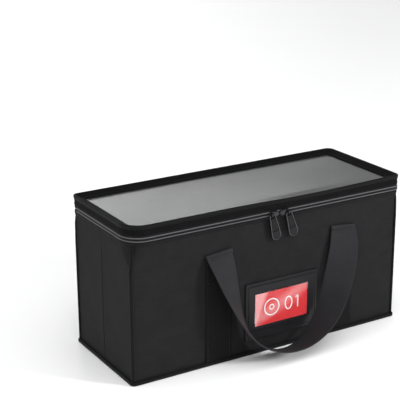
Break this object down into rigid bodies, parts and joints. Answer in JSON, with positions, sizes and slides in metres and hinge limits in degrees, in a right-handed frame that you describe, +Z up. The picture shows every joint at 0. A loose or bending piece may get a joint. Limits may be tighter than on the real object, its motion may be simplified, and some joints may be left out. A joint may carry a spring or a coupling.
{
  "type": "zipped disc storage box",
  "caption": "Soft-sided storage box for discs with a zipped lid that has a clear window, webbing handles and a label pocket.",
  "frame": {"origin": "middle of the footprint, on the surface that the box stands on", "axes": "+X along the length, to the right when facing the label; +Y from the label side to the back; +Z up"},
  "size_m": [0.407, 0.2524, 0.2033],
  "materials": {
    "body_fabric": "matte woven",
    "board": "grey board",
    "lining_fabric": "matte non-woven",
    "binding_tape": "matte ribbed tape",
    "zip_tape": "matte woven tape",
    "zip_teeth": "satin coil",
    "stiffener_rod": "plain",
    "clear_film": "clear flexible film",
    "webbing": "ribbed webbing",
    "label_vinyl": "soft satin vinyl",
    "card": "red printed card",
    "slider_metal": "black lacquer",
    "pull_plastic": "satin moulded"
  },
  "bodies": {
    "box": {"base_panel": "body_fabric", "base_board": "board", "base_lining": "lining_fabric", "insert_board": "lining_fabric", "front_panel": "body_fabric", "back_panel": "body_fabric", "left_panel": "body_fabric", "right_panel": "body_fabric", "front_board": "board", "back_board": "board", "left_front_board": "board", "left_back_board": "board", "right_front_board": "board", "right_back_board": "board", "front_lining": "lining_fabric", "back_lining": "lining_fabric", "left_lining": "lining_fabric", "right_lining": "lining_fabric", "front_left_seam": "binding_tape", "front_right_seam": "binding_tape", "back_right_seam": "binding_tape", "back_left_seam": "binding_tape", "bottom_binding": "binding_tape", "front_collar": "lining_fabric", "back_collar": "lining_fabric", "left_collar": "lining_fabric", "right_collar": "lining_fabric", "collar_binding": "binding_tape", "lower_zip_tape": "zip_tape", "lower_zip_chain": "zip_teeth", "zip_stops": "zip_teeth", "lower_hinge_tape": "zip_tape", "hinge_fold": "binding_tape", "front_left_strap": "webbing", "front_right_strap": "webbing", "back_left_strap": "webbing", "back_right_strap": "webbing", "label_backing": "label_vinyl", "label_frame": "label_vinyl", "label_window": "clear_film"},
    "lid": {"lid_skirt": "body_fabric", "lid_rim": "binding_tape", "lid_border": "body_fabric", "lid_stiffener": "stiffener_rod", "lid_window": "clear_film", "upper_zip_tape": "zip_tape", "upper_zip_chain": "zip_teeth", "upper_hinge_tape": "zip_tape"},
    "left_zip_slider": {"left_slider": "slider_metal", "left_slider_bridge": "slider_metal"},
    "right_zip_slider": {"right_slider": "slider_metal", "right_slider_bridge": "slider_metal"},
    "left_zip_pull": {"left_pull": "pull_plastic"},
    "right_zip_pull": {"right_pull": "pull_plastic"},
    "front_carry_loop": {"front_handle": "webbing"},
    "back_carry_loop": {"back_handle": "webbing"},
    "card": {"label_card": "card"}
  },
  "joints": [
    {"name": "lid_hinge", "type": "hinge", "parent": "box", "child": "lid", "pos_m": [0, 0.0772, 0.185], "axis": [-1, 0, 0], "range_deg": [0, 170]},
    {"name": "left_zip_slide", "type": "slide", "parent": "box", "child": "left_zip_slider", "axis": [1, 0, 0], "range_m": [-0.168, 0]},
    {"name": "right_zip_slide", "type": "slide", "parent": "box", "child": "right_zip_slider", "axis": [1, 0, 0], "range_m": [0, 0.171]},
    {"name": "left_pull_swing", "type": "hinge", "parent": "left_zip_slider", "child": "left_zip_pull", "pos_m": [-0.0042, -0.0811, 0.185], "axis": [-0.9703, 0, -0.2419], "range_deg": [0, 150]},
    {"name": "right_pull_swing", "type": "hinge", "parent": "right_zip_slider", "child": "right_zip_pull", "pos_m": [0.0203, -0.0811, 0.185], "axis": [-0.9563, 0, -0.2924], "range_deg": [0, 150]},
    {"name": "front_handle_swing", "type": "hinge", "parent": "box", "child": "front_carry_loop", "pos_m": [0.015, -0.0781, 0.1482], "axis": [-1, 0, 0], "range_deg": [0, 135]},
    {"name": "back_handle_swing", "type": "hinge", "parent": "box", "child": "back_carry_loop", "pos_m": [0.015, 0.0781, 0.1482], "axis": [-1, 0, 0], "range_deg": [-135, 0]},
    {"name": "card_slide", "type": "slide", "parent": "box", "child": "card", "axis": [0, 0, 1], "range_m": [0, 0.045]}
  ]
}
